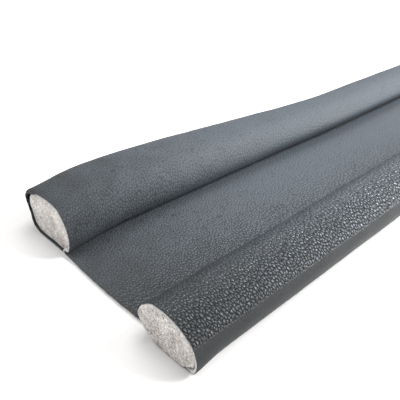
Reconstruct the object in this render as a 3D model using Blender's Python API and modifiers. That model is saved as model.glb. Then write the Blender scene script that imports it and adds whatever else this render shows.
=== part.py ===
# Twin draught excluder: one faux-leather sheet wraps two long foam cores, and its flat
# middle strip lies on the floor and joins the two rolls.
# Lengths are in millimetres until the last step, which turns them into metres.
# X runs along the rolls, Y across them, Z up. The seen end is at low X, the near roll at low Y.
import bpy
import numpy as np

MM = 0.001
LENGTH = 762.0  # the common 30 inch trim
SLOT_WIDTH = 52.8  # between the rolls at their fullest
SHEET = 1.2  # thickness of the faux leather with its textile backing
CLEARANCE = 0.45  # between a foam core and the sheet
FOAM_SPARE = 0.15  # more than that where the foam clears the tuck
TUCK_RADIUS = 0.35  # inside radius of the fold where the strip turns up into a roll
EDGE_GAP = 0.45  # from the free edge under a roll to the back of that fold
LEAST_RISE = 0.3  # from the tuck to the next place up the slot side
OTHER_END_SHARE = 0.3  # how far the cut at the other end wanders, as a share of the seen end's

NEAR_RECESS = 0.2  # foam end behind the cut edge of the cover, at the seen end
FAR_RECESS = 1.5
OTHER_RECESS = 1.2

# Round each roll, from the flat underside by the outer fold, up and over to the tuck.
# across: from the slot side outwards. up: from the floor. foam: from skin to foam core.
# end: how far the cut edge stands in from the end of the roll's length.
ACROSS, UP, FOAM_IN, END = range(4)
NEAR_ROLL = {
    "flat underside": (22.6, 0.0, 1.65, 0.9),
    "outer fold": (27.5, 0.9, 2.9, 0.2),
    "low outer side": (29.5, 4.2, 2.2, 0.0),
    "outer side": (29.6, 8.8, 1.65, 0.0),
    "outer shoulder": (26.6, 13.8, 1.65, 0.0),
    "outer top": (20.6, 17.3, 1.65, 0.0),
    "top": (13.6, 18.3, 1.65, 0.0),
    "inner top": (7.4, 17.2, 1.65, 0.1),
    "inner shoulder": (2.5, 13.4, 1.65, 0.6),
    "slot side": (0.0, 9.2, 1.65, 1.8),
    "low slot side": (1.9, 5.2, 1.65, 2.6),
    "under the slot side": (5.0, 2.5, 1.65, 3.2),
    "tuck": (8.2, 1.9, 1.65, 3.4),
}
# The outer fold stands out at the seen end and draws in behind it, by these millimetres.
FOLD_DRAWS_IN = {"outer fold": 1.1, "low outer side": 0.8, "outer side": 0.3}
DRAWN_IN_AT = 14.0
# At the seen end the near foam swells out over the cut edge, low down and on the slot side.
# From skin to foam there, for each place but the first and the last:
NEAR_FACE_IN = (2.9, 2.2, 1.65, 1.65, 1.65, 1.65, 1.65, 1.6, 0.7, 0.3, 0.25)
# Its foot, as across and up, from the tuck to the fold:
NEAR_FACE_FOOT = ((8.6, 0.8), (12.5, 0.3), (18.0, 0.3), (21.8, 1.65))
FOOT_STEPS = 2
FACE_UNTIL = 0.9  # the swollen face is this deep
FACE_BACK = 1.7  # and past here the foam is inside the cover
# The far roll's seen end is pinched to a corner at its back, where the foam stops short.
FAR_END = {
    "flat underside": (28.0, 0.0, 1.65, 3.5),
    "outer fold": (33.6, 1.6, 2.5, 3.7),
    "low outer side": (37.2, 7.4, 1.9, 4.2),
    "outer side": (38.6, 15.8, 4.6, 4.8),
    "outer shoulder": (32.0, 19.4, 2.4, 4.8),
    "outer top": (23.6, 21.6, 1.65, 4.8),
    "top": (14.4, 22.4, 1.65, 4.8),
    "inner top": (6.8, 20.9, 1.65, 4.8),
    "inner shoulder": (1.9, 15.6, 1.65, 4.8),
    "slot side": (0.0, 9.0, 1.65, 4.6),
    "low slot side": (0.5, 4.8, 1.65, 4.3),
    "under the slot side": (2.0, 2.4, 1.65, 4.2),
    "tuck": (4.6, 1.9, 1.65, 4.2),
}
# Just behind that end the roll is fuller and stands a little further out.
FAR_SWELL = {
    "flat underside": (31.0, 0.0, 1.65, 3.5),
    "outer fold": (38.0, 1.7, 2.2, 3.7),
    "low outer side": (42.4, 7.0, 1.9, 4.2),
    "outer side": (43.2, 13.2, 1.8, 4.8),
    "outer shoulder": (39.8, 19.4, 1.65, 4.8),
    "outer top": (31.4, 22.8, 1.65, 4.8),
    "top": (20.6, 23.4, 1.65, 4.8),
    "inner top": (10.8, 21.8, 1.65, 4.8),
    "inner shoulder": (5.2, 16.8, 1.65, 4.8),
    "slot side": (2.8, 10.4, 1.65, 4.6),
    "low slot side": (3.6, 5.6, 1.65, 4.3),
    "under the slot side": (6.0, 2.6, 1.65, 4.2),
    "tuck": (9.2, 1.9, 1.65, 4.2),
}
FAR_REST_WIDTH = 1.16  # the rest of the far roll, as multiples of the near roll
FAR_REST_HEIGHT = 1.12
SWELL_AT = 34.0  # from the pinched end to the fullest place
REST_FROM = 230.0  # from there on the far roll is even

NEAR_STATIONS = (0, 4, 9, 16, 25, 36, 50, 68, 90, 118, 150, 190)  # closer together at the seen end
STATIONS = NEAR_STATIONS + (235, 285, 340, 400, 460, 520, 580, 640, 695, 735, LENGTH)
ROUND_STEPS = 3  # pieces between two places on a roll
UNDERSIDE_STEPS = 4
TUCK_STEPS = 6
STRIP_STEPS = 5  # on each side of the slot's middle
STRIP_BOW = 1.1  # the strip's cut edge bows out by this much at the slot's middle
FREE_EDGE_IN = 3.0  # the corner of the sheet under a roll stands in by this much

EVEN_UNTIL = 120.0  # the rolls' own unevenness sets in past here
SWAY = 0.7  # sideways
FULLNESS = 0.014  # up and down, as a share of the height

LEATHER_COLOUR = (0.105, 0.121, 0.140, 1.0)
FOAM_COLOUR = (0.52, 0.50, 0.48, 1.0)


def clear_scene():
    for old in list(bpy.data.objects):
        bpy.data.objects.remove(old, do_unlink=True)


def smooth(low, high, value):
    share = np.clip((value - low) / (high - low), 0.0, 1.0)
    return share * share * (3.0 - 2.0 * share)


def places(table):
    return np.array([table[name] for name in table], dtype=float)


def curve_through(rows, steps):
    """Catmull-Rom curve through the rows, with this many pieces between two of them."""
    before = 2.0 * rows[:1] - rows[1:2]
    after = 2.0 * rows[-1:] - rows[-2:-1]
    padded = np.vstack([before, rows, after])
    found = []
    for first in range(len(rows) - 1):
        a, b, c, d = padded[first : first + 4]
        for step in range(steps):
            t = step / steps
            bend = (2.0 * a - 5.0 * b + 4.0 * c - d) * t * t + (3.0 * b - a - 3.0 * c + d) * t * t * t
            found.append(b + 0.5 * ((c - a) * t + bend))
    found.append(rows[-1])
    return np.array(found)


def unevenness(along, phase):
    """(sideways in mm, share of the height) that the roll strays by at this distance."""
    grown = smooth(EVEN_UNTIL, 2.0 * EVEN_UNTIL, along)
    sway = SWAY * (np.sin(along / 71.0 + phase) + 0.5 * np.sin(along / 33.0 + 2.1 * phase))
    fuller = FULLNESS * np.sin(along / 57.0 + 1.7 * phase)
    return grown * sway, grown * fuller


def near_rows(along):
    rows = places(NEAR_ROLL)
    for row, name in enumerate(NEAR_ROLL):
        rows[row, ACROSS] -= FOLD_DRAWS_IN.get(name, 0.0) * smooth(0.0, DRAWN_IN_AT, along)
    sway, fuller = unevenness(along, 0.4)
    rows[:, ACROSS] += sway
    rows[:, UP] *= 1.0 + fuller
    return rows


def far_rows(along):
    rest = places(NEAR_ROLL)
    rest[:, ACROSS] *= FAR_REST_WIDTH
    rest[:, UP] *= FAR_REST_HEIGHT
    rest[:, END] = places(FAR_SWELL)[:, END]
    swollen = smooth(0.0, SWELL_AT, along)
    even = smooth(SWELL_AT, REST_FROM, along)
    rows = places(FAR_END) * (1.0 - swollen) + places(FAR_SWELL) * swollen
    rows = rows * (1.0 - even) + rest * even
    sway, fuller = unevenness(along, 2.3)
    rows[:, ACROSS] += sway
    rows[:, UP] *= 1.0 + fuller
    return rows


def settle(rows):
    """Sets the tuck's height, which the thickness of the sheet gives."""
    rows[-1, UP] = SHEET + 2.0 * TUCK_RADIUS
    rows[-2, UP] = max(rows[-2, UP], rows[-1, UP] + LEAST_RISE)
    return rows


def cover_half(rows, strip_end):
    """The sheet's skin from the free edge, round the roll and out to the slot's middle."""
    tuck, _, _, end = rows[-1]
    free_edge = tuck + TUCK_RADIUS + SHEET + EDGE_GAP
    shares = np.arange(UNDERSIDE_STEPS) / UNDERSIDE_STEPS
    underside = np.zeros((UNDERSIDE_STEPS, 3))
    underside[:, 0] = free_edge + (rows[0, ACROSS] - free_edge) * shares
    underside[:, 2] = FREE_EDGE_IN + (rows[0, END] - FREE_EDGE_IN) * shares
    round_roll = curve_through(rows, ROUND_STEPS)[:, (ACROSS, UP, END)]
    turn = np.pi * (0.5 - np.arange(1, TUCK_STEPS + 1) / TUCK_STEPS)
    fold = np.zeros((TUCK_STEPS, 3))
    fold[:, 0] = tuck + TUCK_RADIUS * np.cos(turn)
    fold[:, 1] = SHEET + TUCK_RADIUS * (1.0 + np.sin(turn))
    fold[:, 2] = end
    shares = np.arange(1, STRIP_STEPS + 1) / STRIP_STEPS
    strip = np.zeros((STRIP_STEPS, 3))
    strip[:, 0] = tuck + (-0.5 * SLOT_WIDTH - tuck) * shares
    strip[:, 1] = SHEET
    strip[:, 2] = end + (strip_end - end) * shares - STRIP_BOW * np.sin(0.5 * np.pi * shares)
    return np.vstack([underside, round_roll, fold, strip])


def inset_curve(rows, depths):
    """A curve that lies in from the skin, without the flat underside and the tuck."""
    skin = rows[:, (ACROSS, UP)]
    step = np.gradient(skin, axis=0)
    step /= np.linalg.norm(step, axis=1, keepdims=True)
    inwards = np.column_stack([-step[:, 1], step[:, 0]])
    inset = skin[1:-1] + inwards[1:-1] * depths[:, None]
    return curve_through(inset, ROUND_STEPS)


def face_outline(rows):
    """The near foam's outline at its seen end, where it swells out over the cover's edge."""
    foot = curve_through(np.array(NEAR_FACE_FOOT), FOOT_STEPS)
    return np.vstack([inset_curve(rows, np.array(NEAR_FACE_IN)), foot])


def foam_outline(rows):
    """The foam core's outline: in from the skin, flat below, and clear of the tuck."""
    round_foam = inset_curve(rows, rows[1:-1, FOAM_IN])
    floor = SHEET + CLEARANCE
    tuck = rows[-1, ACROSS]
    reach = TUCK_RADIUS + SHEET + CLEARANCE + FOAM_SPARE
    turn = np.radians((75.0, 45.0, 15.0))
    over_tuck = np.column_stack([tuck + reach * np.cos(turn), SHEET + TUCK_RADIUS + reach * np.sin(turn)])
    flat = np.full((UNDERSIDE_STEPS, 2), floor)
    flat[:, 0] = np.linspace(tuck + reach + FOAM_SPARE, rows[0, ACROSS], UNDERSIDE_STEPS)
    outline = np.vstack([round_foam, over_tuck, flat])
    outline[:, 1] = np.maximum(outline[:, 1], floor)
    return outline


def along_x(station, end):
    """Where a station lies along the door, for a cut edge that stands in by end."""
    share = station / LENGTH
    return station + end * (1.0 - share) - OTHER_END_SHARE * end * share


def mesh_object(name, points, faces, collection, colour, roughness):
    mesh = bpy.data.meshes.new(name)
    mesh.from_pydata([tuple(p) for p in points * MM], [], faces)
    mesh.update()
    material = bpy.data.materials.new(name)
    material.use_nodes = True
    shader = material.node_tree.nodes["Principled BSDF"]
    shader.inputs["Base Color"].default_value = colour
    shader.inputs["Roughness"].default_value = roughness
    mesh.materials.append(material)
    made = bpy.data.objects.new(name, mesh)
    collection.objects.link(made)
    return made


def cover_points():
    strip_end = 0.5 * (NEAR_ROLL["tuck"][END] + FAR_END["tuck"][END])
    grid = []
    for station in STATIONS:
        near = cover_half(settle(near_rows(station)), strip_end)
        far = cover_half(settle(far_rows(station)), strip_end)
        near_y = -0.5 * SLOT_WIDTH - near[:, 0]
        far_y = 0.5 * SLOT_WIDTH + far[:, 0]
        near_line = np.column_stack([along_x(station, near[:, 2]), near_y, near[:, 1]])
        far_line = np.column_stack([along_x(station, far[:, 2]), far_y, far[:, 1]])
        grid.append(np.vstack([near_line, far_line[-2::-1]]))
    return np.array(grid)


def core_points(rows_at, side, end, recess):
    """Sections of one foam core. The first and last stand in from the cover's cut edge."""
    face = (NEAR_RECESS, FACE_UNTIL) if side < 0.0 else ()
    inside = (FACE_BACK if face else recess,) + STATIONS[1:-1] + (LENGTH - OTHER_RECESS,)
    grid = []
    for station in face + inside:
        outline_at = face_outline if station in face else foam_outline
        outline = outline_at(settle(rows_at(station)))
        line = np.empty((len(outline), 3))
        line[:, 0] = along_x(station, end)
        line[:, 1] = side * (0.5 * SLOT_WIDTH + outline[:, 0])
        line[:, 2] = outline[:, 1]
        grid.append(line)
    return np.array(grid)


def grid_faces(rows, columns, closed, flipped):
    faces = []
    for i in range(rows - 1):
        for j in range(columns if closed else columns - 1):
            k = (j + 1) % columns
            face = (i * columns + j, (i + 1) * columns + j, (i + 1) * columns + k, i * columns + k)
            faces.append(face[::-1] if flipped else face)
    return faces


def build_cover(grid, collection):
    rows, columns, _ = grid.shape
    faces = grid_faces(rows, columns, closed=False, flipped=False)
    cover = mesh_object("cover", grid.reshape(-1, 3), faces, collection, LEATHER_COLOUR, 0.45)
    thicken = cover.modifiers.new("sheet", "SOLIDIFY")
    thicken.thickness = SHEET * MM
    thicken.offset = -1.0
    thicken.use_even_offset = True
    return cover


def build_core(name, grid, flipped, collection):
    rows, columns, _ = grid.shape
    faces = grid_faces(rows, columns, closed=True, flipped=flipped)
    first = list(range(columns))
    last = [(rows - 1) * columns + j for j in range(columns)]
    faces.append(first if not flipped else first[::-1])
    faces.append(last[::-1] if not flipped else last)
    return mesh_object(name, grid.reshape(-1, 3), faces, collection, FOAM_COLOUR, 0.9)


def main():
    clear_scene()
    collection = bpy.data.collections.new("twin_draught_excluder")
    bpy.context.scene.collection.children.link(collection)
    cover = cover_points()
    near = core_points(near_rows, -1.0, NEAR_ROLL["top"][END], NEAR_RECESS)
    far = core_points(far_rows, 1.0, FAR_END["top"][END], FAR_RECESS)
    low = cover.reshape(-1, 3).min(axis=0)
    high = cover.reshape(-1, 3).max(axis=0)
    middle = np.array([0.5 * (low[0] + high[0]), 0.5 * (low[1] + high[1]), 0.0])
    build_cover(cover - middle, collection)
    build_core("near_core", near - middle, False, collection)
    build_core("far_core", far - middle, True, collection)


main()
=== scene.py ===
import math
import bpy
import numpy as np
from mathutils import Euler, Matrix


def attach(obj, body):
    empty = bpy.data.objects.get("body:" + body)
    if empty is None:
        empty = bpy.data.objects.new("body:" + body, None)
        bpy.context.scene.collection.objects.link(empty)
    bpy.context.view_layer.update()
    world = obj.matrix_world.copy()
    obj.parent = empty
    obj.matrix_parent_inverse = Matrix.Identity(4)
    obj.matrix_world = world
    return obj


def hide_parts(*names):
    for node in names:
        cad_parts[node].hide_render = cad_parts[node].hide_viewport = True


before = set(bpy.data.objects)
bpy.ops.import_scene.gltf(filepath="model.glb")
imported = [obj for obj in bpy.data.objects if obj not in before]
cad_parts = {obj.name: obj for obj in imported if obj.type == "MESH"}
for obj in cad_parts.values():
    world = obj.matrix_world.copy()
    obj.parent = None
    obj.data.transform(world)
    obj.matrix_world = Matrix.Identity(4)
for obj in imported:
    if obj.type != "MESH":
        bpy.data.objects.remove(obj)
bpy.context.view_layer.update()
mm = 0.001

# Twin draught excluder, dressed: one faux leather sheet round two foam cores.
# Shapes are worked out in millimetres, from the seen end, the middle of the slot and the floor.
rolls = {
    "length": 762.0,
    "slotWidth": 52.8,
    "slotMiddle": -6.65,  # where the slot's middle lies across the frame
    "swellAt": 34.0,  # the far roll is fullest this far in
    "swellPower": 1.6,
    "restFrom": 230.0,  # from here on it is the near roll times the next two
    "restWidth": 1.16,
    "restHeight": 1.12,
    "drawnInAt": 14.0,  # the near roll's fold is drawn in over this length
    "otherEndIn": 0.3,  # how far the cut edges stand in at the other end, as a share of the seen end
    "evenUntil": 120.0,  # mm along: past here the rolls waver a little
    "sway": 0.7,  # mm across
    "swayWaves": (71.0, 33.0),  # mm along for each radian
    "fullness": 0.014,  # share of the height
    "fullnessWave": 57.0,
    "phases": {"near": 0.4, "far": 2.3},
}

# Places round a roll: across from the slot side, up from the floor, cut edge in from the end.
nearPlaces = {
    "flat underside": (22.6, 0.0, 0.9),
    "outer fold": (27.5, 0.9, 0.2),
    "low outer side": (29.5, 4.2, 0.0),
    "outer side": (29.6, 8.8, 0.0),
    "outer shoulder": (26.6, 13.8, 0.0),
    "outer top": (20.6, 17.3, 0.0),
    "top": (13.6, 18.3, 0.0),
    "inner top": (7.4, 17.2, 0.1),
    "inner shoulder": (2.5, 13.4, 0.6),
    "slot side": (0.0, 9.2, 1.8),
    "low slot side": (1.9, 5.2, 2.6),
    "under the slot side": (5.0, 2.5, 3.2),
    "tuck": (8.2, 1.9, 3.4),
}
# mm by which the near roll's fold is drawn in a little way along
foldDrawsIn = {"outer fold": 1.1, "low outer side": 0.8, "outer side": 0.3}
farEndPlaces = {  # the far roll at its seen end
    "flat underside": (28.0, 0.0, 4.5),
    "outer fold": (33.0, 2.0, 4.5),
    "low outer side": (36.4, 7.8, 4.6),
    "outer side": (39.4, 16.2, 4.8),
    "outer shoulder": (32.2, 20.5, 4.8),
    "outer top": (23.6, 21.6, 4.8),
    "top": (14.4, 22.4, 4.8),
    "inner top": (6.8, 20.9, 4.8),
    "inner shoulder": (1.9, 15.6, 4.8),
    "slot side": (0.0, 9.0, 4.6),
    "low slot side": (0.5, 4.8, 4.3),
    "under the slot side": (2.0, 2.4, 4.2),
    "tuck": (4.6, 1.9, 4.2),
}
farSwellPlaces = {  # and where it is fullest
    "flat underside": (31.0, 0.0, 4.5),
    "outer fold": (38.0, 1.7, 4.5),
    "low outer side": (42.4, 7.0, 4.6),
    "outer side": (43.2, 13.2, 4.8),
    "outer shoulder": (40.4, 20.4, 4.8),
    "outer top": (31.4, 22.8, 4.8),
    "top": (20.6, 23.4, 4.8),
    "inner top": (10.8, 21.8, 4.8),
    "inner shoulder": (5.2, 16.8, 4.8),
    "slot side": (2.8, 10.4, 4.6),
    "low slot side": (3.6, 5.6, 4.3),
    "under the slot side": (6.0, 2.6, 4.2),
    "tuck": (9.2, 1.9, 4.2),
}
placeNames = list(nearPlaces)
outerSide, outerShoulder, tuckPlace = [placeNames.index(n) for n in ("outer side", "outer shoulder", "tuck")]

view = {
    "place": (-451.66, -138.54, 124.41),  # mm
    "yaw": 46.5,  # degrees from the rolls' line towards the far roll
    "down": 29.8,  # degrees
    "lens": 43.73,  # mm, as the next
    "sensor": 36.0,
    "clipStart": 0.01,  # m
}


def makeCamera():
    data = bpy.data.cameras.new("camera")
    data.sensor_width = view["sensor"]
    data.lens = view["lens"]
    data.clip_start = view["clipStart"]
    data.dof.use_dof = False
    camera = bpy.data.objects.new("camera", data)
    camera.location = [c * mm for c in view["place"]]
    camera.rotation_euler = Euler((math.radians(90.0 - view["down"]), 0.0, math.radians(view["yaw"] - 90.0)))
    bpy.context.scene.collection.objects.link(camera)
    bpy.context.scene.camera = camera


makeCamera()
print("camera set")


def smooth(low, high, value):  # 0 below low, 1 above high, an S curve between
    share = np.clip((value - low) / (high - low), 0.0, 1.0)
    return share * share * (3.0 - 2.0 * share)


# value noise: random heights at whole numbers, joined by S curves in both directions
def softNoise(a, b, seed):
    size = 256
    heights = np.random.default_rng(seed).uniform(-1.0, 1.0, (size, size))
    a, b = np.broadcast_arrays(a, b)
    i, j = np.floor(a).astype(int), np.floor(b).astype(int)
    s, t = smooth(0.0, 1.0, a - i), smooth(0.0, 1.0, b - j)
    i, nextI, j, nextJ = i % size, (i + 1) % size, j % size, (j + 1) % size
    low = heights[i, j] * (1.0 - s) + heights[nextI, j] * s
    high = heights[i, nextJ] * (1.0 - s) + heights[nextI, nextJ] * s
    return low * (1.0 - t) + high * t


def placeArray(table):
    return np.array([table[name] for name in placeNames])


# Catmull-Rom as one matrix: each row of it gives a curve point's share of every place
def curveWeights(count, steps):
    t = np.arange((count - 1) * steps + 1) / steps
    first = np.minimum(t.astype(int), count - 2)
    t = (t - first)[:, None]
    shares = np.hstack([
        -0.5 * t + t**2 - 0.5 * t**3,
        1.0 - 2.5 * t**2 + 1.5 * t**3,
        0.5 * t + 2.0 * t**2 - 1.5 * t**3,
        -0.5 * t**2 + 0.5 * t**3,
    ])
    weights = np.zeros((len(t), count + 2))
    np.put_along_axis(weights, first[:, None] + np.arange(4), shares, axis=1)
    # past both ends the curve goes straight on
    weights[:, 1] += 2.0 * weights[:, 0]
    weights[:, 2] -= weights[:, 0]
    weights[:, -2] += 2.0 * weights[:, -1]
    weights[:, -3] -= weights[:, -1]
    return weights[:, 1:-1]


# the places at each distance along, blended between the tables by S curves. Past the even stretch they
# sway across in two waves, and the height swells and sinks in one
def rollPlaces(along, far):
    near = placeArray(nearPlaces)
    along = along[:, None]
    if far:
        rest = near.copy()
        rest[:, 0] *= rolls["restWidth"]
        rest[:, 1] *= rolls["restHeight"]
        rest[:, 2] = placeArray(farSwellPlaces)[:, 2]
        even = smooth(rolls["swellAt"], rolls["restFrom"], along)[:, :, None]
        fromEnd = np.clip(along / rolls["swellAt"], 0.0, 1.0)[:, :, None]
        swollen = 1.0 - (1.0 - fromEnd) ** rolls["swellPower"]
        places = placeArray(farEndPlaces) * (1.0 - swollen) + placeArray(farSwellPlaces) * swollen
        places = places * (1.0 - even) + rest * even
    else:
        drawnIn = np.array([foldDrawsIn.get(name, 0.0) for name in placeNames])
        places = np.repeat(near[None], len(along), axis=0)
        places[:, :, 0] -= drawnIn * smooth(0.0, rolls["drawnInAt"], along)
    phase = rolls["phases"]["far" if far else "near"]
    grown = smooth(rolls["evenUntil"], 2.0 * rolls["evenUntil"], along)
    long, short = rolls["swayWaves"]
    sway = np.sin(along / long + phase) + 0.5 * np.sin(along / short + 2.1 * phase)
    fullness = np.sin(along / rolls["fullnessWave"] + 1.7 * phase)
    places[:, :, 0] += grown * rolls["sway"] * sway
    places[:, :, 1] *= 1.0 + grown * rolls["fullness"] * fullness
    return places


# a cut edge stands in by end at the seen end, and by a share of it at the other
def alongX(station, end):
    share = station / rolls["length"]
    return station + end * (1.0 - share) - rolls["otherEndIn"] * end * share


def makePiece(name, points, faces, materials, slots=None, uv=None, grain=None):
    mesh = bpy.data.meshes.new(name)
    points = points + np.array([-0.5 * rolls["length"], rolls["slotMiddle"], 0.0])
    mesh.from_pydata((points * mm).tolist(), [], faces)
    for material in materials:
        mesh.materials.append(material)
    if slots is not None:
        mesh.polygons.foreach_set("material_index", np.asarray(slots, np.int32))
    mesh.polygons.foreach_set("use_smooth", np.ones(len(mesh.polygons), bool))
    corners = np.empty(len(mesh.loops), np.int32)
    mesh.loops.foreach_get("vertex_index", corners)
    if uv is not None:
        layer = mesh.uv_layers.new(name="sheet")
        layer.data.foreach_set("uv", uv[corners].astype(np.float32).ravel())
    if grain is not None:
        layer = mesh.attributes.new("grain", "FLOAT", "POINT")
        layer.data.foreach_set("value", grain.astype(np.float32))
    mesh.update()
    piece = bpy.data.objects.new(name, mesh)
    bpy.context.scene.collection.objects.link(piece)
    return piece


def linear(hexColour):  # an sRGB hex value as linear light
    channels = [int(hexColour[i : i + 2], 16) / 255.0 for i in (1, 3, 5)]
    return [c / 12.92 if c <= 0.04045 else ((c + 0.055) / 1.055) ** 2.4 for c in channels] + [1.0]


# one node with its settings, and its inputs linked or set by name or number
def addNode(tree, kind, links=None, **settings):
    node = tree.nodes.new(kind)
    for name, value in settings.items():
        setattr(node, name, value)
    for name, value in (links or {}).items():
        socket = node.inputs[name]
        if isinstance(value, bpy.types.NodeSocket):
            tree.links.new(value, socket)
        else:
            socket.default_value = value
    return node


def setSteps(ramp, steps):  # a ramp's colours from (place, hex) pairs
    ramp.color_ramp.interpolation = "EASE"
    while len(ramp.color_ramp.elements) < len(steps):
        ramp.color_ramp.elements.new(0.5)
    for element, (place, colour) in zip(ramp.color_ramp.elements, steps):
        element.position = place
        element.color = linear(colour)


def newMaterial(name):
    material = bpy.data.materials.new(name)
    material.use_nodes = True
    tree = material.node_tree
    return material, tree, tree.nodes["Principled BSDF"]


inMillimetres = (1000.0, 1000.0, 1000.0)  # the maps and the objects are in metres

skinFinish = {
    # crease and crown colours: painted shade in the creases and painted light on the crowns, over the bump
    "creaseShade": "#15181a",
    "slope": "#1b1f22",
    "crownLight": "#41484f",
    "pebble": (1.1, 1.5),  # mm along and round the roll, at the seen end
    "grownFrom": 230.0,  # mm along: the pebbles are a third larger there, one over the next value
    "grown": 0.74,
    "wander": 1.2,  # mm that the rows of pebbles stray
    "wandersPerMm": 0.5,
    "poresPerMm": 2.2,  # drawn coarser than real pores, which would not show
    "broken": 0.3,  # how much the pores break the creases
    "domes": (0.1, 1.0),  # from crown to crease, where a pebble's height falls away
    "crownsPaintedLit": (0.52, 0.97),  # and where its colour falls from the painted light on the crowns to the painted shade in the creases
    "depth": 0.56,  # mm from crown to crease
    "poreDepth": 0.25,  # share of that depth
    "grainFrom": (-0.1, 0.5),  # mm round from the band's edge: the grain comes in here
    "bandGrain": 0.06,  # share of the grain that the band keeps
    "bandHeight": 0.3,  # share of the depth at which the band lies
    "bandLine": 0.8,  # mm from the band's edge to where its line of painted shade ends
    "bandLinePaintedShade": -0.55,
    "plainGrain": (0.06, 0.45),  # where the grain is down to this: the bare band, the stretched top
    "plainPaintedShadeAndLight": (0.38, 0.92),  # the tone at those two: painted shade on the bare band, which faces down, and painted light on the stretched top
    "darkUntil": 130.0,  # mm from the seen end over which the painted shade lifts
    "endShadeTone": (0.6, 1.22),  # times the tone: at the seen end, past that length
    "patchesPerMm": 0.09,
    "patches": 0.25,  # share of the whole range of tone
    "gloss": (0.03, 0.58),  # crease, crown
    "glossFull": 0.7,
    "roughness": (0.55, 0.35),
    "dullUntil": 90.0,  # mm from the seen end
    "duller": 0.12,
    "sparseGrain": (0.22, 0.45),  # grain share: fully paler and rougher at the first, not at all at the second
    "sparseGrainRougher": 0.3,
    "sparseGrainPaler": 0.25,
}


# where the skin's creases are: nearest over second nearest point is 1 all along them and falls to 0 at
# every crown, small or large. Fine noise breaks them, so that some neighbouring pebbles run together
def pebbleEdges(tree, inMm, along, pores):
    wander = addNode(tree, "ShaderNodeTexNoise", {
        "Vector": inMm, "Scale": skinFinish["wandersPerMm"], "Detail": 2.0,
    }).outputs["Color"]
    stray = (skinFinish["wander"], skinFinish["wander"], 0.0)
    bent = addNode(tree, "ShaderNodeVectorMath", {0: wander, 1: stray, 2: inMm}, operation="MULTIPLY_ADD")
    pebble = [1.0 / size for size in skinFinish["pebble"]] + [1.0]
    even = addNode(tree, "ShaderNodeVectorMath", {0: bent.outputs[0], 1: pebble}, operation="MULTIPLY")
    finer = addNode(tree, "ShaderNodeMapRange", {
        "Value": along, "From Max": skinFinish["grownFrom"], "To Min": 1.0, "To Max": skinFinish["grown"],
    }, interpolation_type="SMOOTHSTEP").outputs["Result"]
    inPebbles = addNode(tree, "ShaderNodeVectorMath", {0: even.outputs[0], "Scale": finer}, operation="SCALE")
    nearest, second = [
        addNode(tree, "ShaderNodeTexVoronoi", {
            "Vector": inPebbles.outputs[0], "Scale": 1.0, "Randomness": 1.0,
        }, feature=feature, voronoi_dimensions="2D").outputs["Distance"]
        for feature in ("F1", "F2")
    ]
    broken = skinFinish["broken"]
    edges = addNode(tree, "ShaderNodeMath", {0: nearest, 1: second}, operation="DIVIDE").outputs[0]
    edges = addNode(tree, "ShaderNodeMath", {
        0: pores, 1: broken, 2: edges,
    }, operation="MULTIPLY_ADD").outputs[0]
    return addNode(tree, "ShaderNodeMath", {0: edges, 1: 0.5 * broken}, operation="SUBTRACT").outputs[0]


# the smooth band lies below 0 round the roll: how much grain there is, and a line of painted shade along its
# edge, standing for a pressed groove
def bandAndGrain(tree, across, fullness):
    low, high = skinFinish["grainFrom"]
    above = addNode(tree, "ShaderNodeMapRange", {
        "Value": across, "From Min": low, "From Max": high, "To Min": skinFinish["bandGrain"],
    }).outputs["Result"]
    grain = addNode(tree, "ShaderNodeMath", {0: fullness, 1: above}, operation="MULTIPLY").outputs[0]
    fromLine = addNode(tree, "ShaderNodeMath", {0: across}, operation="ABSOLUTE").outputs[0]
    bandLineShade = addNode(tree, "ShaderNodeMapRange", {
        "Value": fromLine, "From Max": skinFinish["bandLine"], "To Min": 1.0, "To Max": 0.0,
    }).outputs["Result"]
    return grain, bandLineShade


# dark creases and paler crowns, which are painted shade and painted light; darker at the seen end, which is
# painted shade; in soft patches; darker along the band's edge, also painted shade; and paler on the strip and
# the far roll past the stretched top
def skinTone(tree, inMm, along, flat, bandLineShade, sparseGrain):
    low, high = skinFinish["endShadeTone"]
    # painted shade: the tone is darker at the seen end and lighter past it
    endShade = addNode(tree, "ShaderNodeMapRange", {
        "Value": along, "From Max": skinFinish["darkUntil"], "To Min": low, "To Max": high,
    }).outputs["Result"]
    patches = addNode(tree, "ShaderNodeTexNoise", {
        "Vector": inMm, "Scale": skinFinish["patchesPerMm"], "Detail": 2.0,
    }).outputs["Fac"]
    tone = addNode(tree, "ShaderNodeMath", {0: flat, 1: endShade}, operation="MULTIPLY").outputs[0]
    tone = addNode(tree, "ShaderNodeMath", {
        0: patches, 1: skinFinish["patches"], 2: tone,
    }, operation="MULTIPLY_ADD").outputs[0]
    tone = addNode(tree, "ShaderNodeMath", {
        0: tone, 1: 0.5 * skinFinish["patches"],
    }, operation="SUBTRACT").outputs[0]
    # painted shade of a pressed groove along the band's edge
    tone = addNode(tree, "ShaderNodeMath", {
        0: bandLineShade, 1: skinFinish["bandLinePaintedShade"], 2: tone,
    }, operation="MULTIPLY_ADD").outputs[0]
    return addNode(tree, "ShaderNodeMath", {
        0: sparseGrain, 1: skinFinish["sparseGrainPaler"], 2: tone,
    }, operation="MULTIPLY_ADD").outputs[0]


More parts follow.
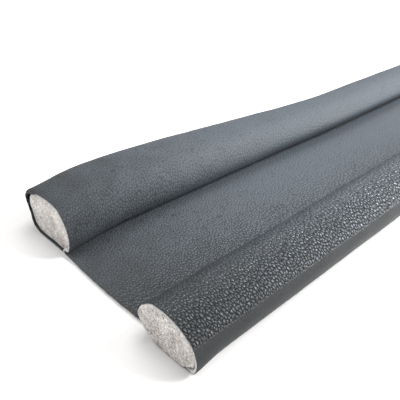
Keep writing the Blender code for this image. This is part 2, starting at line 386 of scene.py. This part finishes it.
# crowns shine and creases do not. The seen end, and the strip and the far roll past the stretched top, are
# duller
def skinShine(tree, along, flat, sparseGrain):
    low, high = skinFinish["gloss"]
    gloss = addNode(tree, "ShaderNodeMapRange", {
        "Value": flat, "From Max": skinFinish["glossFull"], "To Min": low, "To Max": high,
    }).outputs["Result"]
    low, high = skinFinish["roughness"]
    rough = addNode(tree, "ShaderNodeMapRange", {
        "Value": flat, "To Min": low, "To Max": high,
    }).outputs["Result"]
    rough = addNode(tree, "ShaderNodeMath", {
        0: sparseGrain, 1: skinFinish["sparseGrainRougher"], 2: rough,
    }, operation="MULTIPLY_ADD").outputs[0]
    duller = addNode(tree, "ShaderNodeMapRange", {
        "Value": along, "From Max": skinFinish["dullUntil"], "To Min": skinFinish["duller"], "To Max": 0.0,
    }).outputs["Result"]
    rough = addNode(tree, "ShaderNodeMath", {0: rough, 1: duller}, operation="ADD").outputs[0]
    return gloss, rough


# polyurethane skin embossed with a pebble grain: soft gloss on the crowns, dull creases, with painted shade
# darkening the creases and painted light on the crowns
def fauxLeatherSkin():
    material, tree, shader = newMaterial("fauxLeatherSkin")
    uv = addNode(tree, "ShaderNodeUVMap", uv_map="sheet").outputs["UV"]
    inMm = addNode(tree, "ShaderNodeVectorMath", {0: uv, 1: inMillimetres}, operation="MULTIPLY").outputs[0]
    along, across = addNode(tree, "ShaderNodeSeparateXYZ", {"Vector": inMm}).outputs[:2]
    fullness = addNode(tree, "ShaderNodeAttribute", attribute_name="grain").outputs["Fac"]
    grain, bandLineShade = bandAndGrain(tree, across, fullness)
    pores = addNode(tree, "ShaderNodeTexNoise", {
        "Vector": inMm, "Scale": skinFinish["poresPerMm"], "Detail": 3.0,
    }).outputs["Fac"]
    edges = pebbleEdges(tree, inMm, along, pores)
    low, high = skinFinish["domes"]
    domes = addNode(tree, "ShaderNodeMapRange", {
        "Value": edges, "From Min": low, "From Max": high, "To Min": 1.0, "To Max": 0.0,
    }, interpolation_type="SMOOTHSTEP").outputs["Result"]
    low, high = skinFinish["crownsPaintedLit"]
    crownsPaintedLit = addNode(tree, "ShaderNodeMapRange", {
        "Value": edges, "From Min": low, "From Max": high, "To Min": 1.0, "To Max": 0.0,
    }).outputs["Result"]
    # the grain fades where the sheet is stretched; the bare band is darkened with painted shade and the
    # stretched top lightened with painted light
    (low, high), (dark, light) = skinFinish["plainGrain"], skinFinish["plainPaintedShadeAndLight"]
    plain = addNode(tree, "ShaderNodeMapRange", {
        "Value": grain, "From Min": low, "From Max": high, "To Min": dark, "To Max": light,
    }).outputs["Result"]
    flat = addNode(tree, "ShaderNodeMix", {
        "Factor": grain, "A": plain, "B": crownsPaintedLit,
    }, data_type="FLOAT").outputs["Result"]
    # the strip and the far roll, past the stretched top, are made rougher and paler
    low, high = skinFinish["sparseGrain"]
    sparseGrain = addNode(tree, "ShaderNodeMapRange", {
        "Value": fullness, "From Min": low, "From Max": high, "To Min": 1.0, "To Max": 0.0,
    }).outputs["Result"]
    tone = skinTone(tree, inMm, along, flat, bandLineShade, sparseGrain)
    # the ramp paints shade into the creases and light onto the crowns
    colour = addNode(tree, "ShaderNodeValToRGB", {"Fac": tone})
    setSteps(colour, [(0.0, skinFinish["creaseShade"]), (0.5, skinFinish["slope"]), (1.0, skinFinish["crownLight"])])
    tree.links.new(colour.outputs["Color"], shader.inputs["Base Color"])
    gloss, rough = skinShine(tree, along, flat, sparseGrain)
    tree.links.new(gloss, shader.inputs["Specular IOR Level"])
    tree.links.new(rough, shader.inputs["Roughness"])
    height = addNode(tree, "ShaderNodeMix", {
        "Factor": grain, "A": skinFinish["bandHeight"], "B": domes,
    }, data_type="FLOAT").outputs["Result"]
    relief = addNode(tree, "ShaderNodeMath", {
        0: pores, 1: skinFinish["poreDepth"], 2: height,
    }, operation="MULTIPLY_ADD").outputs[0]
    bump = addNode(tree, "ShaderNodeBump", {
        "Height": relief, "Distance": skinFinish["depth"] * mm, "Strength": 1.0,
    })
    tree.links.new(bump.outputs["Normal"], shader.inputs["Normal"])
    shader.inputs["IOR"].default_value = 1.5
    return material


backingFinish = {
    "shade": "#a6a5a4",
    "pale": "#f3f3f3",
    "thread": 0.7,  # mm from rib to rib, drawn a little coarser than a real knit so that it shows
    "fibresPerMm": 1.1,
    "depth": 0.12,  # mm
}
waveRepeat = 0.314  # a wave texture of scale 1 repeats after this length


def knittedBacking():  # pale brushed knit glued behind the skin: matt, with fine ribs
    material, tree, shader = newMaterial("knittedBacking")
    uv = addNode(tree, "ShaderNodeUVMap", uv_map="sheet").outputs["UV"]
    inMm = addNode(tree, "ShaderNodeVectorMath", {0: uv, 1: inMillimetres}, operation="MULTIPLY").outputs[0]
    ribs = addNode(tree, "ShaderNodeTexWave", {
        "Vector": inMm, "Scale": waveRepeat / backingFinish["thread"], "Distortion": 1.2,
    }).outputs["Fac"]
    fibres = addNode(tree, "ShaderNodeTexNoise", {
        "Vector": inMm, "Scale": backingFinish["fibresPerMm"], "Detail": 4.0,
    }).outputs["Fac"]
    both = addNode(tree, "ShaderNodeMath", {0: ribs, 1: 0.5, 2: fibres}, operation="MULTIPLY_ADD").outputs[0]
    colour = addNode(tree, "ShaderNodeValToRGB", {"Fac": both})
    setSteps(colour, [(0.45, backingFinish["shade"]), (0.85, backingFinish["pale"])])
    tree.links.new(colour.outputs["Color"], shader.inputs["Base Color"])
    shader.inputs["Roughness"].default_value = 0.95
    shader.inputs["Sheen Weight"].default_value = 0.25
    shader.inputs["Sheen Roughness"].default_value = 0.5
    bump = addNode(tree, "ShaderNodeBump", {
        "Height": both, "Distance": backingFinish["depth"] * mm, "Strength": 0.8,
    })
    tree.links.new(bump.outputs["Normal"], shader.inputs["Normal"])
    return material


foamFinish = {
    "pit": "#6d6865",
    "body": "#b9b4b0",
    "wall": "#ebe8e5",
    "cell": 0.75,  # mm across one cut cell, drawn a little coarser than a real one so that it shows
    "wallWide": 0.3,  # share of a cell
    "walls": 0.22,  # against the fibres
    "fibresPerMm": 1.1,
    "cloudsPerMm": 0.16,
    "clouds": 0.35,
    "lowDarkeningUpTo": 11.0,  # mm above the floor
    "lowDarkening": -0.14,  # added to the tone at the floor
    "depth": 0.25,  # mm
}


# soft grey foam sliced across: torn cell walls catch the light, pits between them are dull
def cutFoam():
    material, tree, shader = newMaterial("cutFoam")
    at = addNode(tree, "ShaderNodeTexCoord").outputs["Object"]
    inMm = addNode(tree, "ShaderNodeVectorMath", {0: at, 1: inMillimetres}, operation="MULTIPLY").outputs[0]
    cells = addNode(tree, "ShaderNodeTexVoronoi", {
        "Vector": inMm, "Scale": 1.0 / foamFinish["cell"],
    }, feature="DISTANCE_TO_EDGE").outputs["Distance"]
    fibres = addNode(tree, "ShaderNodeTexNoise", {
        "Vector": inMm, "Scale": foamFinish["fibresPerMm"],
        "Detail": 4.0, "Roughness": 0.7, "Distortion": 0.6,
    }).outputs["Fac"]
    clouds = addNode(tree, "ShaderNodeTexNoise", {
        "Vector": inMm, "Scale": foamFinish["cloudsPerMm"], "Detail": 2.0,
    }).outputs["Fac"]
    walls = addNode(tree, "ShaderNodeMapRange", {
        "Value": cells, "From Max": foamFinish["wallWide"], "To Min": 1.0, "To Max": 0.0,
    }).outputs["Result"]
    mixed = addNode(tree, "ShaderNodeMath", {
        0: walls, 1: foamFinish["walls"], 2: fibres,
    }, operation="MULTIPLY_ADD").outputs[0]
    tone = addNode(tree, "ShaderNodeMath", {
        0: clouds, 1: foamFinish["clouds"], 2: mixed,
    }, operation="MULTIPLY_ADD").outputs[0]
    # darker low down, towards the floor
    up = addNode(tree, "ShaderNodeSeparateXYZ", {"Vector": inMm}).outputs["Z"]
    lowDarkening = addNode(tree, "ShaderNodeMapRange", {
        "Value": up, "From Max": foamFinish["lowDarkeningUpTo"], "To Min": foamFinish["lowDarkening"], "To Max": 0.0,
    }).outputs["Result"]
    tone = addNode(tree, "ShaderNodeMath", {0: tone, 1: lowDarkening}, operation="ADD").outputs[0]
    steps = [(0.5, foamFinish["pit"]), (0.76, foamFinish["body"]), (1.0, foamFinish["wall"])]
    colour = addNode(tree, "ShaderNodeValToRGB", {"Fac": tone})
    setSteps(colour, steps)
    tree.links.new(colour.outputs["Color"], shader.inputs["Base Color"])
    shader.inputs["Roughness"].default_value = 0.92
    bump = addNode(tree, "ShaderNodeBump", {
        "Height": mixed, "Distance": foamFinish["depth"] * mm, "Strength": 0.9,
    })
    tree.links.new(bump.outputs["Normal"], shader.inputs["Normal"])
    return material


skin = fauxLeatherSkin()
backing = knittedBacking()
foam = cutFoam()
print("materials made")

sheet = {
    "thick": 1.1,
    "levels": 5,  # points through the thickness
    "tuckRadius": 0.35,
    "tuckLift": 0.3,  # the place before the tuck lies at least this much higher
    "edgeGap": 0.6,  # from a free edge to the back of the tuck
    "stripBow": 1.1,  # mm that the strip's cut edge bows out by the slot's middle
    "freeEdgeIn": {"near": 3.0, "far": 4.5},  # mm that each free edge's end stands in
    "stations": 236,
    "closeStations": 110.0,  # mm: how strongly the stations crowd at the seen end
    "stationPower": 2.2,
    "undersideSteps": 8,
    "roundSteps": 5,
    "tuckSteps": 7,
    "stripSteps": 12,
    "lipSteps": 8,
    "lipLength": 2.4,  # the far roll's cut edge curls in over this length
    "lipIn": (0.4, 1.9),  # along the bottom, at the outer side
    "lipGrows": (0.6, 2.4),  # between these places
    "turnedIn": 5.0,  # mm of skin on the back of that edge
    "raggedEdge": 0.1,
    "raggedSize": 1.3,
    "raggedUntil": 2.0,  # mm along for a fall to a third
    "liftedFrom": (1.5, 4.0),  # dents and folds grow between these heights
    "dents": 0.13,
    "dentSize": (17.0, 9.0),  # mm along, mm round
    "smallDentSize": (7.0, 5.0),
    "bandEdge": 16.0,  # mm round the near roll from its flat underside: the smooth band ends there
    "seeds": {"dents": 3, "smallDents": 4, "raggedEdge": 5},
}
# folds that fan out from the far roll's pinched corner
pinchFolds = {
    "height": 0.3,
    "fan": 0.35,  # places for one step of the fan at the cut edge
    "widens": 30.0,  # mm along for each further place
    "waves": 2.4,
    "phase": 0.6,
    "narrow": 0.35,
    "diesOut": 18.0,  # mm along for a fall to a third
    "startsBy": 5.0,
}
# how much of the cut edge the dark skin covers. The strip counts from this share of the way past the tuck
stripFrom = 0.4
darkCut = {"near roll": 0.25, "strip": 0.5, "far roll inside": 0.25, "far roll outside": 1.0}
# share of the grain that is lost, and between which distances round from the band's edge
grainFades = {"over the top": (0.5, 7.0, 20.0), "towards the far roll": (0.28, 50.0, 120.0)}


# skin line of one roll: straight along the flat underside, a curve through the places round the roll, half a
# circle at the tuck, then straight out to the slot's middle with its cut edge bowed by a quarter of a sine
def sheetHalf(places, stripEnd, freeEdgeIn):
    tuckHeight = sheet["thick"] + 2.0 * sheet["tuckRadius"]
    places = places.copy()
    places[:, -1, 1] = tuckHeight
    places[:, -2, 1] = np.maximum(places[:, -2, 1], tuckHeight + sheet["tuckLift"])
    tuck, end = places[:, -1:, 0], places[:, -1:, 2]
    freeEdge = tuck + sheet["tuckRadius"] + sheet["thick"] + sheet["edgeGap"]
    share = np.arange(sheet["undersideSteps"]) / sheet["undersideSteps"]
    under = np.stack([
        freeEdge + (places[:, :1, 0] - freeEdge) * share,
        np.zeros((len(places), len(share))),
        freeEdgeIn + (places[:, :1, 2] - freeEdgeIn) * share,
    ], axis=-1)
    around = np.einsum("mr,urc->umc", curveWeights(len(placeNames), sheet["roundSteps"]), places)
    turn = np.pi * (0.5 - np.arange(1, sheet["tuckSteps"] + 1) / sheet["tuckSteps"])
    ones = np.ones_like(tuck)
    fold = np.stack([
        tuck + sheet["tuckRadius"] * np.cos(turn),
        ones * (sheet["thick"] + sheet["tuckRadius"] * (1.0 + np.sin(turn))),
        end * np.ones_like(turn),
    ], axis=-1)
    share = np.arange(1, sheet["stripSteps"] + 1) / sheet["stripSteps"]
    strip = np.stack([
        tuck + (-0.5 * rolls["slotWidth"] - tuck) * share,
        ones * sheet["thick"] * np.ones_like(share),
        end + (stripEnd - end) * share - sheet["stripBow"] * np.sin(0.5 * np.pi * share),
    ], axis=-1)
    return np.concatenate([under, around, fold, strip], axis=1)


# distances along: even steps over the curled lip, then steps that widen by a power of their share
def sheetStations():
    lip = np.linspace(0.0, sheet["lipLength"], sheet["lipSteps"] + 1)
    share = np.linspace(0.0, 1.0, sheet["stations"])
    close = sheet["closeStations"]
    span = rolls["length"] - sheet["lipLength"]
    rest = sheet["lipLength"] + close * share + (span - close) * share ** sheet["stationPower"]
    return np.concatenate([lip[:-1], rest])


# the place round its roll that each column is at: below 0 under the roll, then the tables' rows, and past the
# tuck the strip. The far roll's columns mirror the near roll's
def sheetPlaces():
    under, around = sheet["undersideSteps"], tuckPlace * sheet["roundSteps"]
    strip = sheet["tuckSteps"] + sheet["stripSteps"]
    place = np.concatenate([
        np.arange(-under, 0) / under,
        np.arange(around + 1) / sheet["roundSteps"],
        tuckPlace + np.arange(1, strip + 1) / strip,
    ])
    return np.concatenate([place, place[-2::-1]]), np.arange(2 * len(place) - 1) >= len(place)


# the far roll's cut edge curls in over the foam, by the square of the nearness to the end, and most at its
# outer side
def curlLip(line, station, place, onFar, outside):
    middle = line[:, :, :2][:, (place > 0.0) & (place < tuckPlace) & onFar].mean(axis=1)
    inwards = middle[:, None] - line[:, :, :2]
    inwards /= np.linalg.norm(inwards, axis=2, keepdims=True)
    low, high = sheet["lipIn"]
    most = low + (high - low) * smooth(*sheet["lipGrows"], place)
    nearness = np.clip(1.0 - station / sheet["lipLength"], 0.0, 1.0)[:, None]
    line[:, :, :2] += inwards * (most * nearness**2 * outside)[:, :, None]


# soft dents of two sizes, and a sine across the fan of folds that dies out to both sides and along the roll
def sheetRelief(station, arc, place, onFar):
    along, around = station[:, None], arc[None, :]
    wide, small = sheet["dentSize"], sheet["smallDentSize"]
    dents = softNoise(along / wide[0], around / wide[1], sheet["seeds"]["dents"])
    dents = dents + 0.5 * softNoise(along / small[0], around / small[1], sheet["seeds"]["smallDents"])
    fan = (place[None, :] - outerSide) / (pinchFolds["fan"] + along / pinchFolds["widens"])
    folds = np.sin(pinchFolds["waves"] * fan + pinchFolds["phase"]) * np.exp(-pinchFolds["narrow"] * fan**2)
    folds *= np.exp(-along / pinchFolds["diesOut"]) * smooth(0.0, pinchFolds["startsBy"], along) * onFar
    return sheet["dents"] * dents + pinchFolds["height"] * folds


def gridNormals(points):  # cross product of the two grid directions at every point
    du = np.gradient(points, axis=0)
    ds = np.gradient(points, axis=1)
    normal = np.cross(du, ds)
    return normal / np.linalg.norm(normal, axis=2, keepdims=True)


# quads over the six sides of a block of points, each facing out, and which side each lies on
def blockSurface(shape):
    index = np.arange(np.prod(shape)).reshape(shape)
    sides = [
        (index[:, :, 0], False), (index[:, :, -1], True),
        (index[0], True), (index[-1], False),
        (index[:, 0], False), (index[:, -1], True),
    ]
    quads, which = [], []
    for number, (side, flip) in enumerate(sides):
        quad = np.stack([side[:-1, :-1], side[1:, :-1], side[1:, 1:], side[:-1, 1:]], axis=-1).reshape(-1, 4)
        quads.append(quad[:, ::-1] if flip else quad)
        which.append(np.full(len(quad), number))
    return np.concatenate(quads), np.concatenate(which)


# skin outside and on the outer part of every cut, and turned in a little at the far roll's curled edge
def skinFaces(quads, which, shape, station, place, onFar, outside):
    rows, columns, levels = np.unravel_index(quads, shape)
    cut = np.where(outside > 0.5, darkCut["far roll outside"], darkCut["far roll inside"])
    cut = np.where(onFar, cut, darkCut["near roll"])
    cut = np.where(place > tuckPlace + stripFrom, darkCut["strip"], cut)
    deep = levels.mean(axis=1) / (shape[2] - 1)
    byTheEdge = station[rows.max(axis=1)] < sheet["turnedIn"]
    turnedIn = (which == 1) & byTheEdge & (outside[columns].min(axis=1) > 0.5)
    return (which == 0) | ((which > 1) & (deep < cut[columns[:, 0]])) | turnedIn


# the skin's own surface: the near roll's line, then the far roll's in mirror
def sheetSkin(station, place, onFar, outside):
    stripEnd = 0.5 * (nearPlaces["tuck"][2] + farEndPlaces["tuck"][2])
    near = sheetHalf(rollPlaces(station, far=False), stripEnd, sheet["freeEdgeIn"]["near"])
    far = sheetHalf(rollPlaces(station, far=True), stripEnd, sheet["freeEdgeIn"]["far"])
    line = np.concatenate([near, far[:, -2::-1]], axis=1)
    curlLip(line, station, place, onFar, outside)
    return np.stack([
        alongX(station[:, None], line[:, :, 2]),
        np.where(onFar, 1.0, -1.0) * (0.5 * rolls["slotWidth"] + line[:, :, 0]),
        line[:, :, 1],
    ], axis=-1)


def grainLeft(fromBand):  # share of the grain at each distance round from the band's edge
    grain = np.ones_like(fromBand)
    for loss, start, full in grainFades.values():
        grain = grain - loss * smooth(start, full, fromBand)
    return grain


def makeCover():
    station = sheetStations()
    place, onFar = sheetPlaces()
    outside = onFar * (1.0 - smooth(outerShoulder, outerShoulder + 1.0, place))
    points = sheetSkin(station, place, onFar, outside)
    steps = np.linalg.norm(np.diff(points[:, :, 1:], axis=1), axis=2).mean(axis=0)
    arc = np.concatenate([[0.0], np.cumsum(steps)])  # mm round the section, the mean of all stations
    fromBand = arc - arc[sheet["undersideSteps"]] - sheet["bandEdge"]
    relief = sheetRelief(station, arc, place, onFar) * smooth(*sheet["liftedFrom"], points[:, :, 2])
    points = points + gridNormals(points) * relief[:, :, None]
    ragged = softNoise(arc[None, :] / sheet["raggedSize"], np.zeros((1, 1)), sheet["seeds"]["raggedEdge"])
    points[:, :, 0] += sheet["raggedEdge"] * ragged * np.exp(-station[:, None] / sheet["raggedUntil"])
    depth = sheet["thick"] * np.linspace(0.0, 1.0, sheet["levels"])
    block = points[:, :, None, :] - gridNormals(points)[:, :, None, :] * depth[:, None]
    shape = block.shape[:3]
    quads, which = blockSurface(shape)
    isSkin = skinFaces(quads, which, shape, station, place, onFar, outside)
    uv = np.stack([
        np.broadcast_to(station[:, None, None] * mm, shape),
        np.broadcast_to((fromBand[None, :, None] + depth) * mm, shape),
    ], axis=-1).reshape(-1, 2)
    grain = np.broadcast_to(grainLeft(fromBand)[None, :, None], shape).ravel()
    used, quads = np.unique(quads, return_inverse=True)
    quads = quads.reshape(-1, 4)
    cover = makePiece("coverSheet", block.reshape(-1, 3)[used], quads.tolist(), [skin, backing],
                      slots=np.where(isSkin, 0, 1), uv=uv[used], grain=grain[used])
    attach(cover, "root")
    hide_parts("cover")


makeCover()

core = {
    "gap": 0.12,  # between the sheet and the foam inside it
    "roundSteps": 9,
    "footSteps": 8,
    "footIn": (0.6, 2.6),  # from the tuck to the foot's first two corners
    "footLift": 0.3,
    "footMiddle": 0.7,  # share of the way from the tuck to the flat underside
    "faceLift": 0.25,  # a foot that shows stays this far above the floor
    "closeStations": (4.0, 8.0, 14.0, 22.0, 32.0, 45.0, 60.0, 80.0, 105.0),  # mm along, then even steps
    "plainFrom": 130.0,
    "plainUntil": 14.0,  # short of the other end
    "plainStations": 40,
    "otherRecess": 1.2,  # mm that the other end's face lies short of the full length
    "otherRim": 2.0,
    "waver": 0.013,  # share of the distance from the middle
    "waverSteps": 2.2,  # outline points for one swing
}
cutFace = {
    "rings": 48,
    "ringPower": 1.15,
    "out": 0.35,  # mm that the face stands out of its outline
    "edgeRound": 0.45,  # mm in from the edge
    "edgeBack": 0.5,
    "torn": 0.17,  # mm
    "tears": (0.8, 3.5),  # mm across
    "tornFrom": 1.2,  # mm in from the edge
}
# "sections" are the first distances along. "faceIn" is skin to foam at the seen face, from the outer fold
# round to under the slot side.
nearFoam = {
    "sections": (0.1, 0.9, 1.7),  # it swells over the cut edge down to the second
    "faceIn": (2.4, 1.4, 1.1, 1.0, 0.95, 0.95, 0.8, 0.3, 0.1, 0.1, 0.1),
    "foot": ((8.6, 0.8), (12.5, 0.3), (18.0, 0.3), (22.6, 0.75)),
    "seed": 11,
}
farFoam = {
    "sections": (0.7, 1.7, 2.3),
    # it shrinks back at the outer side
    "faceIn": (2.3, 3.6, 4.2, 2.1, 1.3, 1.22, 1.22, 1.22, 1.22, 1.22, 1.22),
    "faceUntil": 12.0,
    "seed": 21,
}


# each place moved in by its depth along the mitre of the two sides that meet there, then joined by a curve
def insetLine(places, depths):
    step = np.diff(places[:, :, :2], axis=1)
    step /= np.linalg.norm(step, axis=2, keepdims=True)
    inwards = np.stack([-step[:, :, 1], step[:, :, 0]], axis=-1)
    before, after = inwards[:, :-1], inwards[:, 1:]
    mitre = (before + after) / (1.0 + (before * after).sum(axis=2, keepdims=True))
    inset = places[:, 1:-1, :2] + mitre * depths[:, :, None]
    return np.einsum("mr,urc->umc", curveWeights(len(placeNames) - 2, core["roundSteps"]), inset)


# a curve through the inset places, then one through the foot's four corners. faceShare 1 gives the seen
# face, 0 the foam inside the sheet
def coreOutlines(places, faceShare, shape):
    share = faceShare[:, None]
    snug = sheet["thick"] + core["gap"]
    around = insetLine(places, snug * (1.0 - share) + np.array(shape["faceIn"]) * share)
    tuck, last = places[:, -1, 0], places[:, 0, 0]
    bottom = np.full_like(tuck, snug)
    high, low = core["footIn"]
    middle = core["footMiddle"]
    corners = np.stack([
        np.stack([tuck + high, bottom + sheet["thick"] + 2.0 * sheet["tuckRadius"]], axis=-1),
        np.stack([tuck + low, bottom + core["footLift"]], axis=-1),
        np.stack([tuck * (1.0 - middle) + last * middle, bottom], axis=-1),
        np.stack([last, bottom], axis=-1),
    ], axis=1)
    lowest = snug * np.ones_like(share)
    if "foot" in shape:
        corners = corners * (1.0 - share[:, :, None]) + np.array(shape["foot"]) * share[:, :, None]
        lowest = lowest * (1.0 - share) + core["faceLift"] * share
    foot = np.einsum("mr,urc->umc", curveWeights(len(corners[0]), core["footSteps"]), corners)
    outline = np.concatenate([around, foot], axis=1)
    outline[:, :, 1] = np.maximum(outline[:, :, 1], lowest)
    return outline


# a cut face: the outline in rings towards its middle, rounded at its edge, torn a little all over
def tornFace(outline, x, out, seed):
    share = 1.0 - np.linspace(0.0, 1.0, cutFace["rings"] + 1)[1:-1] ** cutFace["ringPower"]
    middle = outline.mean(axis=0)
    ring = middle + (outline - middle) * share[:, None, None]
    fromEdge = np.linalg.norm(outline - middle, axis=1)[None, :] * (1.0 - share)[:, None]
    dome = cutFace["edgeRound"] * (1.0 - np.clip(fromEdge / cutFace["edgeRound"], 0.0, 1.0)) ** 2
    fine, coarse = cutFace["tears"]
    torn = softNoise(ring[:, :, 0] / fine, ring[:, :, 1] / fine, seed)
    torn = torn + softNoise(ring[:, :, 0] / coarse, ring[:, :, 1] / coarse, seed + 1)
    lift = out * (cutFace["out"] - dome * cutFace["edgeBack"])
    depth = x + lift + cutFace["torn"] * torn * smooth(0.0, cutFace["tornFrom"], fromEdge)
    return np.concatenate([depth[:, :, None], ring], axis=2)


# quads over a grid of rings, and a triangle fan over each end's middle point, which come after the grid
def closedRings(rows, count):
    index = np.arange(rows * count).reshape(rows, count)
    after = np.roll(index, -1, axis=1)
    quads = np.stack([index[:-1], index[1:], after[1:], after[:-1]], axis=-1).reshape(-1, 4)
    pole = index.size
    front = np.stack([np.full(count, pole), index[0], after[0]], axis=-1)
    back = np.stack([np.full(count, pole + 1), after[-1], index[-1]], axis=-1)
    return quads, front, back


# distances along, and how much of the seen face's outline each one has
def coreStations(far, shape):
    last = rolls["length"] - core["otherRecess"]
    plain = np.linspace(core["plainFrom"], rolls["length"] - core["plainUntil"], core["plainStations"])
    rim = [last - core["otherRim"], last]
    stations = np.concatenate([shape["sections"], core["closeStations"], plain, rim])
    if far:
        return stations, 1.0 - smooth(shape["sections"][0], shape["faceUntil"], stations)
    return stations, np.where(np.arange(len(stations)) < 2, 1.0, 0.0)


def makeCore(name, node, far, shape, end):
    stations, faceShare = coreStations(far, shape)
    outlines = coreOutlines(rollPlaces(stations, far), faceShare, shape)
    # the seen face is cut by hand, so its outline wavers
    waver = softNoise(np.arange(outlines.shape[1]) / core["waverSteps"], 0.0, shape["seed"] + 7)
    middle = outlines[:2].mean(axis=1, keepdims=True)
    outlines[:2] = middle + (outlines[:2] - middle) * (1.0 + core["waver"] * waver)[None, :, None]
    x = alongX(stations, end)
    tube = np.concatenate([np.broadcast_to(x[:, None, None], outlines.shape[:2] + (1,)), outlines], axis=2)
    seenFace = tornFace(outlines[0], x[0], -1.0, shape["seed"])
    otherFace = tornFace(outlines[-1], x[-1], 1.0, shape["seed"])
    grid = np.concatenate([seenFace[::-1], tube, otherFace], axis=0)
    points = np.concatenate([grid.reshape(-1, 3), [grid[0].mean(axis=0), grid[-1].mean(axis=0)]])
    points[:, 1] = (1.0 if far else -1.0) * (0.5 * rolls["slotWidth"] + points[:, 1])
    quads, front, back = closedRings(*grid.shape[:2])
    if far:
        quads, front, back = quads[:, ::-1], front[:, ::-1], back[:, ::-1]
    piece = makePiece(name, points, quads.tolist() + front.tolist() + back.tolist(), [foam])
    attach(piece, "root")
    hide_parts(node)
    print(name, len(quads))


makeCore("nearFoam", "near_core", False, nearFoam, nearPlaces["top"][2])
makeCore("farFoam", "far_core", True, farFoam, farEndPlaces["top"][2])

studio = {
    "floor": "#dddcdb",
    "floorHalf": 8.0,  # m, as the next
    "floorDown": 0.0002,
    "air": 0.45,
    "aim": (-0.3, 0.0, 0.0),
}
# place in metres, size and power of each soft light
lights = {
    "key": ((-1.0, 0.8, 1.1), 0.8, 12.0),
    "over": ((2.4, 1.2, 7.3), 5.0, 430.0),
    "right": ((0.34, -0.5, 0.54), 0.45, 20.5),
}


def makeFloor():  # plain matt paper
    half = studio["floorHalf"]
    mesh = bpy.data.meshes.new("floor")
    corners = [(-half, -half, 0.0), (half, -half, 0.0), (half, half, 0.0), (-half, half, 0.0)]
    mesh.from_pydata(corners, [], [(0, 1, 2, 3)])
    paper, tree, shader = newMaterial("studioPaper")
    shader.inputs["Base Color"].default_value = linear(studio["floor"])
    shader.inputs["Roughness"].default_value = 0.9
    mesh.materials.append(paper)
    floor = bpy.data.objects.new("floor", mesh)
    floor.location = (0.0, 0.0, -studio["floorDown"])
    bpy.context.scene.collection.objects.link(floor)


def makeAir():
    world = bpy.data.worlds.new("softAir")
    world.use_nodes = True
    world.node_tree.nodes["Background"].inputs["Color"].default_value = (1.0, 1.0, 1.0, 1.0)
    world.node_tree.nodes["Background"].inputs["Strength"].default_value = studio["air"]
    bpy.context.scene.world = world


def makeLight(name, place, size, power):
    data = bpy.data.lights.new(name, "AREA")
    data.size = size
    data.energy = power
    light = bpy.data.objects.new(name, data)
    light.location = place
    aim = np.array(studio["aim"]) - np.array(place)
    light.rotation_euler = Euler((math.acos(-aim[2] / np.linalg.norm(aim)), 0.0, math.atan2(-aim[0], aim[1])))
    bpy.context.scene.collection.objects.link(light)


makeFloor()
makeAir()
for name, (place, size, power) in lights.items():
    makeLight(name, place, size, power)
bpy.context.scene.view_settings.view_transform = "Standard"
print("studio set")
